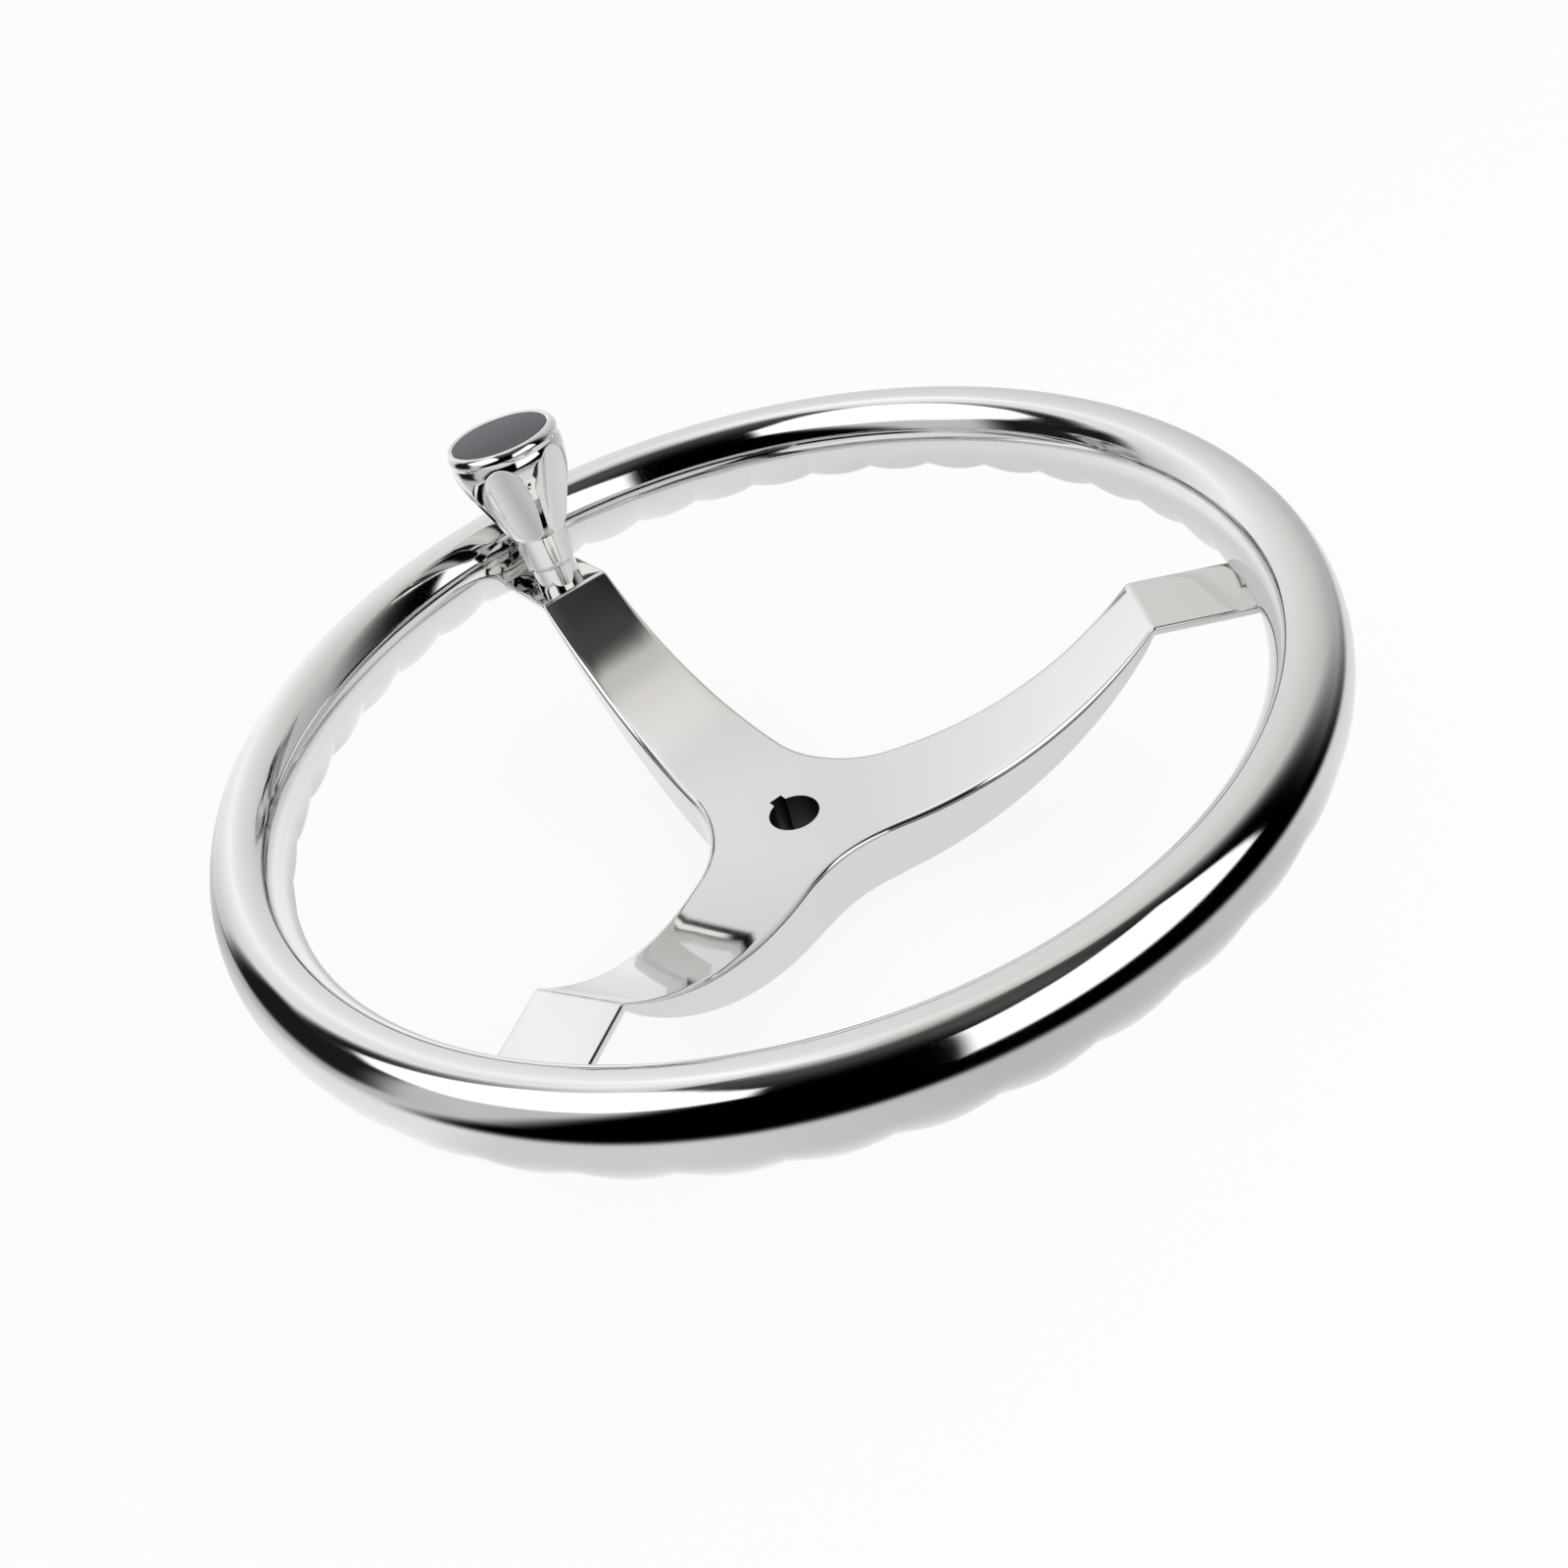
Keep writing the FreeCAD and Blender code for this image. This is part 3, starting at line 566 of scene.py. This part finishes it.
knob_steel = polished_steel("buffed_knob_steel", STEEL_TONE, 0.03, 0.07, 0.00002, 0.0000004)
knob_outside = outline(KNOB_FOOT, KNOB_RUNS)
knob_inside = np.array([(INSERT_RADIUS, INSERT_SEAT), (WELL_RADIUS, INSERT_SEAT),
                        (WELL_RADIUS, WELL_FLOOR), (BUSH_BORE, WELL_FLOOR),
                        (BUSH_BORE, UPPER_SHOULDER), (NECK_BORE, UPPER_SHOULDER),
                        (NECK_BORE, LOWER_SHOULDER), (BUSH_BORE, LOWER_SHOULDER),
                        (BUSH_BORE, KNOB_LOW)])
knob_profile = np.concatenate([knob_outside, knob_inside])
knob_angle = np.linspace(0.0, 2.0 * math.pi, KNOB_STEPS, endpoint=False)[:, None]
knob_radius = np.repeat(knob_profile[None, :, 0], KNOB_STEPS, 0)
knob_height = np.repeat(knob_profile[None, :, 1], KNOB_STEPS, 0)
outside = np.arange(len(knob_profile))[None, :] < len(knob_outside)
knob_radius = np.where(outside, fluted(knob_radius, knob_height, knob_angle), knob_radius)
knob_grid = np.stack([knob_radius * np.cos(knob_angle), knob_radius * np.sin(knob_angle), knob_height], -1)
knob = skin("fluted_knob", [(on_strip(knob_grid), True, True)], knob_steel, "knob", 30.0)
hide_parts("knob_body")

# Insert: a moulded disc of dark blue-grey plastic, slightly domed, snapped into the bezel.
# Its moulded grain leaves a soft gloss.
INSERT_CROWN = 0.9
INSERT_ROUND = 0.3
INSERT_STEPS = 160
insert_plastic, insert_nodes, insert_links, insert_shader = blank_material("dark_insert_plastic")
insert_shader.inputs["Base Color"].default_value = (0.016, 0.020, 0.036, 1.0)
insert_place = insert_nodes.new("ShaderNodeTexCoord").outputs["Object"]
insert_grain = noise(insert_nodes, insert_links, insert_place, 700.0, 3.0)
insert_gloss = remap(insert_nodes, insert_links, insert_grain, (0.0, 1.0), (0.32, 0.48))
insert_links.new(insert_gloss, insert_shader.inputs["Roughness"])
insert_links.new(bump(insert_nodes, insert_links, insert_grain, 0.00002), insert_shader.inputs["Normal"])
dome_radius = (INSERT_RADIUS ** 2 + INSERT_CROWN ** 2) / (2.0 * INSERT_CROWN)
dome_r = np.linspace(0.0, INSERT_RADIUS - INSERT_ROUND, 24)
dome_z = INSERT_EDGE + INSERT_CROWN - dome_radius + np.sqrt(dome_radius ** 2 - dome_r ** 2)
insert_side = [(INSERT_RADIUS - 0.1, INSERT_EDGE - 0.1), (INSERT_RADIUS, INSERT_EDGE - INSERT_ROUND),
               (INSERT_RADIUS, INSERT_SEAT), (0.0, INSERT_SEAT)]
insert_profile = np.concatenate([np.stack([dome_r, dome_z], -1), insert_side])
insert_grid = on_strip(lathe(insert_profile, INSERT_STEPS))
insert = skin("knob_insert", [(insert_grid, True, False)], insert_plastic, "knob", 30.0)
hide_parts("knob_insert")

# Fasteners and bushes: stock stainless screws and washers, plain acetal bushes. They keep
# the CAD solids and get their materials.
screw_steel = polished_steel("screw_steel", (0.62, 0.61, 0.60), 0.18, 0.32, 0.00001, 0.000003)
for node, finish in (("post_screw", screw_steel), ("post_lock_washer", screw_steel),
                     ("knob_retaining_washer", screw_steel), ("knob_retaining_screw", screw_steel),
                     ("lower_bush", acetal), ("upper_bush", acetal)):
    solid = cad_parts[node]
    solid.data.materials.clear()
    solid.data.materials.append(finish)

# Studio: a white floor under a pale sky and one soft box. Round the wheel stands a tent of
# cards that only mirrors see: black behind the camera, two bright boxes, pale elsewhere.
# The wheel rests on its hub. Lengths here are metres and directions are degrees.
FLOOR_REACH = 8.0
FLOOR_LEVEL = -0.0002
PAPER_SHARE = 0.88
TENT_RADIUS = 1.3
TENT_CENTRE = 0.07
CARD_LIFT = 0.002
GROUND_START = 0.03
TENT_TURNS = 541
GROUND_RINGS = 60
CLIMB_RINGS = 180
STEEL_SHARE = 0.70
BOX_GLOW = 1.6
FRONT_BOX = [(-102.0, 3.5), (-45.0, 8.0), (-46.5, 50.5), (-62.0, 49.0), (-84.0, 43.5), (-100.5, 37.5)]
LEFT_BOX = [(-213.0, 33.0), (-203.0, 25.0), (-185.0, 20.0), (-160.0, 23.0), (-137.0, 33.5), (-137.5, 47.5),
            (-151.0, 57.0), (-165.0, 64.0), (-180.0, 67.0), (-196.0, 65.5), (-210.0, 57.0)]


def sheet_of(name, grid, material):
    """A stage surface from a point grid in metres."""
    rows, columns = grid.shape[:2]
    index = np.arange(rows * columns).reshape(rows, columns)
    quads = np.stack([index[:-1, :-1], index[1:, :-1], index[1:, 1:], index[:-1, 1:]], -1).reshape(-1, 4)
    mesh = bpy.data.meshes.new(name)
    mesh.from_pydata(grid.reshape(-1, 3).tolist(), [], quads.tolist())
    mesh.materials.append(material)
    mesh.shade_smooth()
    sheet = bpy.data.objects.new(name, mesh)
    bpy.context.scene.collection.objects.link(sheet)
    return sheet


def mixed(nodes, links, share, first, second):
    """Two shaders mixed: all first where the share is 0, all second where it is 1."""
    mix = nodes.new("ShaderNodeMixShader")
    links.new(share, mix.inputs["Fac"])
    links.new(first, mix.inputs[1])
    links.new(second, mix.inputs[2])
    return mix.outputs["Shader"]


def background_seen(nodes, links):
    """1 for the rays that show a background, the camera's and those that metal or glass sends
    on, and 0 for the rays that light the object."""
    ray = nodes.new("ShaderNodeLightPath")
    seen = ray.outputs["Is Camera Ray"]
    for kind in ("Is Glossy Ray", "Is Transmission Ray"):
        either = nodes.new("ShaderNodeMath")
        either.operation = "MAXIMUM"
        links.new(seen, either.inputs[0])
        links.new(ray.outputs[kind], either.inputs[1])
        seen = either.outputs["Value"]
    return seen


def step(value, low, high):
    """Smooth step from 0 at low to 1 at high."""
    t = np.clip((value - low) / (high - low), 0.0, 1.0)
    return t * t * (3.0 - 2.0 * t)


# floor: matt white paper, which the camera and the metal see almost without the wheel's
# shadow, and clear from below so that the wheel's back can be seen
paper, paper_nodes, paper_links, paper_shader = blank_material("white_paper")
paper_shader.inputs["Base Color"].default_value = (0.93, 0.92, 0.895, 1.0)
paper_shader.inputs["Roughness"].default_value = 0.9
paper_shader.inputs["Specular IOR Level"].default_value = 0.0
paper_white = paper_nodes.new("ShaderNodeEmission")
paper_white.inputs["Color"].default_value = (0.99, 0.99, 0.985, 1.0)
paper_share = paper_nodes.new("ShaderNodeMath")
paper_share.operation = "MULTIPLY"
paper_share.inputs[1].default_value = PAPER_SHARE
paper_links.new(background_seen(paper_nodes, paper_links), paper_share.inputs[0])
paper_face = mixed(paper_nodes, paper_links, paper_share.outputs["Value"],
                   paper_shader.outputs["BSDF"], paper_white.outputs["Emission"])
paper_side = paper_nodes.new("ShaderNodeNewGeometry")
paper_clear = paper_nodes.new("ShaderNodeBsdfTransparent")
paper_both = mixed(paper_nodes, paper_links, paper_side.outputs["Backfacing"],
                   paper_face, paper_clear.outputs["BSDF"])
paper_links.new(paper_both, paper_nodes["Material Output"].inputs["Surface"])
floor_line = np.linspace(-FLOOR_REACH, FLOOR_REACH, 9)
floor_x, floor_y = np.meshgrid(floor_line, floor_line, indexing="ij")
sheet_of("floor", np.stack([floor_x, floor_y, np.full_like(floor_x, FLOOR_LEVEL)], -1), paper)
# sky: a pale grey light, and white as a background
world = bpy.data.worlds.new("pale_sky")
bpy.context.scene.world = world
world.use_nodes = True
sky_nodes, sky_links = world.node_tree.nodes, world.node_tree.links
sky_grey = sky_nodes["Background"]
sky_grey.inputs["Color"].default_value = (0.86, 0.86, 0.86, 1.0)
sky_white = sky_nodes.new("ShaderNodeBackground")
sky_white.inputs["Color"].default_value = (0.98, 0.98, 0.975, 1.0)
sky = mixed(sky_nodes, sky_links, background_seen(sky_nodes, sky_links),
            sky_grey.outputs["Background"], sky_white.outputs["Background"])
sky_links.new(sky, sky_nodes["World Output"].inputs["Surface"])


def within(azimuth, rise, corners, soft):
    """1 inside a convex outline of (azimuth, rise) corners listed anticlockwise, 0 outside,
    with a soft edge of the given width in degrees."""
    depth = np.full(np.broadcast(azimuth, rise).shape, 90.0)
    for (ax, ay), (bx, by) in zip(corners, corners[1:] + corners[:1]):
        across = (bx - ax) * (rise - ay) - (by - ay) * (azimuth - ax)
        depth = np.minimum(depth, across / math.hypot(bx - ax, by - ay))
    return step(depth, -soft / 2.0, soft / 2.0)


def card_tones(azimuth, rise):
    """What the cards show in each direction from the wheel, in degrees: the level a mirror of
    this steel renders, from 0 black to 1 white, the soft boxes' glow, the tint's warmth, and
    the cover, how much of the card hides what is behind it."""
    # the far left is counted on from the left, so that the left box lies in one piece
    turned = np.where(azimuth > 100.0, azimuth - 360.0, azimuth)
    level = np.interp(azimuth, [-180, -160, -50, 0, 30, 60, 80, 95, 112, 125, 160, 180],
                      [0.74, 0.72, 0.70, 0.75, 0.80, 0.845, 0.89, 0.955, 0.88, 0.88, 0.75, 0.74])
    low = np.interp(azimuth, [-180, 0, 60, 90, 110, 130, 180], [0.0, 0.10, 0.02, 0.02, 0.03, 0.20, 0.0])
    high = (step(rise, 55, 68) - step(rise, 74, 84)) * step(azimuth, -10, 15)
    level = level - low * (1.0 - step(rise, 0, 40)) + 0.05 * high
    # the dark room behind the camera
    left = np.interp(rise, [-10, 10, 28, 34, 62, 75], [-180, -164, -146, -152, -182, -192])
    right = np.interp(rise, [-10, 25, 50, 62, 80], [-20, -21, -24, -20, -35])
    spread = np.interp(rise, [-10, 25, 50, 62, 80], [22, 21, 20, 14, 12])
    room = step(turned - left, -8, 8) * (1.0 - step(turned - right, -spread, spread))
    room = room * step(rise, -12, -9) * (1.0 - step(rise, 70, 87))
    halo = step(turned, -110, -90) * (1.0 - step(turned, -70, -50))
    halo = halo * (step(rise, 30, 48) - step(rise, 50, 72))
    level = level * (1.0 - room) + (0.015 + 0.255 * step(rise, 31, 71) + 0.12 * halo) * room
    # a dark corner on the far left, narrowing upwards beside the left box
    corner = step(azimuth, 122, 132) * (1.0 - step(azimuth, 158, 170))
    corner = corner * step(rise, -8, -4) * (1.0 - step(rise, 24, 34))
    neck = step(azimuth, 126, 141) * (1.0 - step(azimuth, 146, 154))
    neck = neck * step(rise, 18, 28) * (1.0 - step(rise, 34, 70))
    corner = np.maximum(corner, neck)
    level = level * (1.0 - corner) + 0.12 * corner
    # the floor: pale, greyer on the camera's side and most of all just in front of the room
    floor = 1.0 - step(rise, -12, -8)
    paper_level = np.interp(azimuth, [-180, -140, -100, -40, 30, 45, 70, 105, 135, 160, 180],
                            [0.88, 0.90, 0.78, 0.82, 0.74, 0.76, 0.93, 0.92, 0.62, 0.85, 0.88])
    shade = step(turned, -175, -160) * (1.0 - step(turned, -60, -40)) * step(rise, -25, -18)
    level = level * (1.0 - floor) + (paper_level - 0.12 * shade) * floor
    glow = np.maximum(within(turned, rise, FRONT_BOX, 4.0), within(turned, rise, LEFT_BOX, 4.0))
    warmth = 0.7 * step(rise, 20, 40) * (1.0 - step(np.abs(azimuth + 30.0), 60, 90))
    warmth = warmth + step(rise, 60, 75) * room - 0.4 * floor
    return level, glow, warmth, 1.0 - 0.25 * floor


# the tent: a round ground sheet close over the floor, and a half sphere that rises from it
azimuth = np.linspace(-180.0, 180.0, TENT_TURNS)[:, None]
ground = np.geomspace(GROUND_START, TENT_RADIUS, GROUND_RINGS)
climb = np.radians(np.linspace(0.0, 90.0, CLIMB_RINGS + 1))[1:]
reach = np.concatenate([ground, TENT_RADIUS * np.cos(climb)])[None, :]
height = np.concatenate([np.zeros(GROUND_RINGS), TENT_RADIUS * np.sin(climb)])[None, :] + CARD_LIFT
tent_shape = (azimuth.size, reach.size)
tent_grid = np.stack([reach * np.cos(np.radians(azimuth)), reach * np.sin(np.radians(azimuth)),
                      np.broadcast_to(height, tent_shape)], -1)
card, card_nodes, card_links, card_shader = blank_material("reflection_cards")
card_nodes.remove(card_shader)
card_glow = card_nodes.new("ShaderNodeEmission")
card_clear = card_nodes.new("ShaderNodeBsdfTransparent")
card_tone = card_nodes.new("ShaderNodeAttribute")
card_tone.attribute_name = "tone"
card_cover = card_nodes.new("ShaderNodeAttribute")
card_cover.attribute_name = "cover"
card_links.new(card_tone.outputs["Color"], card_glow.inputs["Color"])
card_both = mixed(card_nodes, card_links, card_cover.outputs["Fac"],
                  card_clear.outputs["BSDF"], card_glow.outputs["Emission"])
card_links.new(card_both, card_nodes["Material Output"].inputs["Surface"])
tent = sheet_of("reflection_tent", tent_grid, card)
rise = np.degrees(np.arctan2(height - TENT_CENTRE, reach))
level, glow, warmth, cover = card_tones(azimuth, rise)
# the near floor is the paper itself, and the cards come in further out
near = np.interp(azimuth, [-180, -150, -100, 100, 140, 180], [0.12, 0.12, 0.25, 0.25, 0.12, 0.12])
cover = np.where(height <= CARD_LIFT, cover * step(reach, GROUND_START, near), cover)
# a level is what the steel shows, so the card itself is brighter by what the steel swallows
tint = np.stack([1.0 + 0.03 * warmth, np.ones_like(warmth), 1.0 - 0.04 * warmth], -1)
light = level ** 2.2 / STEEL_SHARE * (1.0 - glow) + BOX_GLOW * glow
tone = np.ones((*tent_shape, 4))
tone[..., :3] = light[..., None] * tint
tone_layer = tent.data.attributes.new("tone", "FLOAT_COLOR", "POINT")
tone_layer.data.foreach_set("color", tone.ravel())
cover_layer = tent.data.attributes.new("cover", "FLOAT", "POINT")
cover_layer.data.foreach_set("value", np.broadcast_to(cover, tent_shape).ravel())
tent.visible_camera = False
tent.visible_diffuse = False
tent.visible_shadow = False


# the soft box lights what is matt, and mirrors see the tent's cards in its place. Its power
# is radiance times area times pi
LAMP_AZIMUTH = -71.0
LAMP_RISE = 28.0
LAMP_WIDTH = 56.0
LAMP_HEIGHT = 38.0
LAMP_DISTANCE = 1.15
LAMP_RADIANCE = 1.5
lamp = bpy.data.lights.new("soft_box_front", "AREA")
lamp.shape = "RECTANGLE"
lamp.size = 2.0 * LAMP_DISTANCE * math.tan(math.radians(LAMP_WIDTH / 2.0))
lamp.size_y = 2.0 * LAMP_DISTANCE * math.tan(math.radians(LAMP_HEIGHT / 2.0))
lamp.energy = LAMP_RADIANCE * lamp.size * lamp.size_y * math.pi
soft_box = bpy.data.objects.new("soft_box_front", lamp)
bpy.context.scene.collection.objects.link(soft_box)
az, el = math.radians(LAMP_AZIMUTH), math.radians(LAMP_RISE)
way = Vector((math.cos(el) * math.cos(az), math.cos(el) * math.sin(az), math.sin(el)))
soft_box.location = Vector((0.0, 0.0, TENT_CENTRE)) + way * LAMP_DISTANCE
soft_box.rotation_euler = way.to_track_quat("Z", "Y").to_euler()
soft_box.visible_camera = False
soft_box.visible_glossy = False

# Camera: the photograph's viewpoint, solved from the rim's ellipses, the spokes and the hub's
# hole. The view is rolled, so its axes are written as world directions.
FOCAL_PIXELS = 1550.0
PHOTO_PIXELS = 1600.0
SENSOR_WIDTH = 36.0
camera_data = bpy.data.cameras.new("camera")
camera_data.sensor_width = SENSOR_WIDTH
camera_data.lens = FOCAL_PIXELS * SENSOR_WIDTH / PHOTO_PIXELS
camera = bpy.data.objects.new("camera", camera_data)
bpy.context.scene.collection.objects.link(camera)
right = Vector((0.77836119, -0.58125047, -0.23727988))
up = Vector((0.52670368, 0.39888432, 0.75064941))
back = Vector((-0.3416681, -0.70925255, 0.61662284))
turn_matrix = Matrix((right, up, back)).transposed().to_4x4()
camera.matrix_world = Matrix.Translation((-0.16668766, -0.34518003, 0.33879889)) @ turn_matrix
bpy.context.scene.camera = camera
